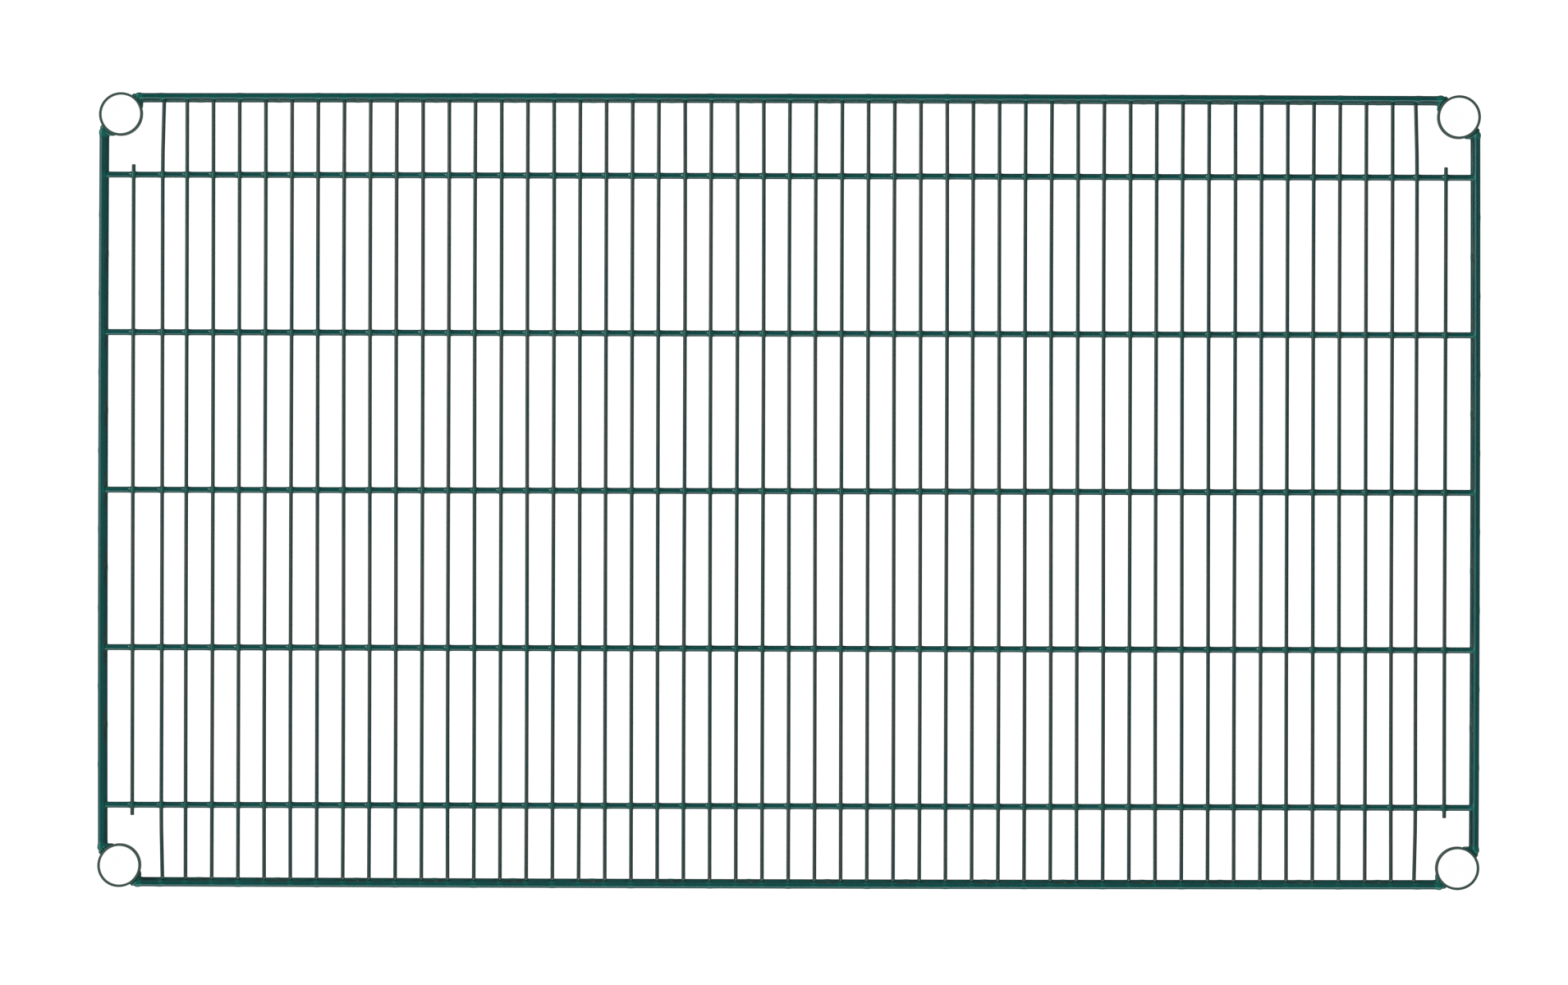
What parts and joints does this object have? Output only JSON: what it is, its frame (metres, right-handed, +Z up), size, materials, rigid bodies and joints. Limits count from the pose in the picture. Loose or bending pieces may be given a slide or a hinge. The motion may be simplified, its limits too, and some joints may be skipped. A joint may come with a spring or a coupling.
{
  "type": "wire shelf",
  "caption": "Green coated wire shelf with a round collar at each corner for a post, truss edges of rod and bent wire, and a deck of close wires on support rods.",
  "frame": {"origin": "middle of the footprint, on the plane that the four collars stand on", "axes": "+X along the long side, +Y towards the rear long side, +Z up, from the collars' feet to the deck"},
  "size_m": [1.0596, 0.6096, 0.036],
  "materials": {
    "frame_coating": "dark green epoxy powder coat over steel rod, semi-gloss",
    "deck_wire_coating": "dark grey-green epoxy powder coat over steel wire, semi-gloss",
    "collar_coating": "dark green epoxy powder coat over formed steel collar, semi-gloss"
  },
  "bodies": {
    "root": {"deck_wire_middle": "deck_wire_coating", "deck_wires_01": "deck_wire_coating", "deck_wires_02": "deck_wire_coating", "deck_wires_03": "deck_wire_coating", "deck_wires_04": "deck_wire_coating", "deck_wires_05": "deck_wire_coating", "deck_wires_06": "deck_wire_coating", "deck_wires_07": "deck_wire_coating", "deck_wires_08": "deck_wire_coating", "deck_wires_09": "deck_wire_coating", "deck_wires_10": "deck_wire_coating", "deck_wires_11": "deck_wire_coating", "deck_wires_12": "deck_wire_coating", "deck_wires_13": "deck_wire_coating", "deck_wires_14": "deck_wire_coating", "deck_wires_15": "deck_wire_coating", "deck_wires_16": "deck_wire_coating", "deck_wires_17": "deck_wire_coating", "deck_wires_18": "deck_wire_coating", "deck_wires_19": "deck_wire_coating", "deck_wires_20": "deck_wire_coating", "deck_wires_21": "deck_wire_coating", "deck_wires_22": "deck_wire_coating", "deck_wires_23": "deck_wire_coating", "deck_wires_24": "deck_wire_coating", "end_wire_left": "deck_wire_coating", "end_wire_right": "deck_wire_coating", "front_bottom_rod": "frame_coating", "front_left_collar": "collar_coating", "front_right_collar": "collar_coating", "front_snake_wire": "frame_coating", "front_top_rod": "frame_coating", "left_bottom_rod": "frame_coating", "left_snake_wire": "frame_coating", "left_top_rod": "frame_coating", "rear_bottom_rod": "frame_coating", "rear_left_collar": "collar_coating", "rear_right_collar": "collar_coating", "rear_snake_wire": "frame_coating", "rear_top_rod": "frame_coating", "right_bottom_rod": "frame_coating", "right_snake_wire": "frame_coating", "right_top_rod": "frame_coating", "support_rod_1": "frame_coating", "support_rod_2": "frame_coating", "support_rod_3": "frame_coating", "support_rod_4": "frame_coating", "support_rod_5": "frame_coating"}
  },
  "joints": []
}
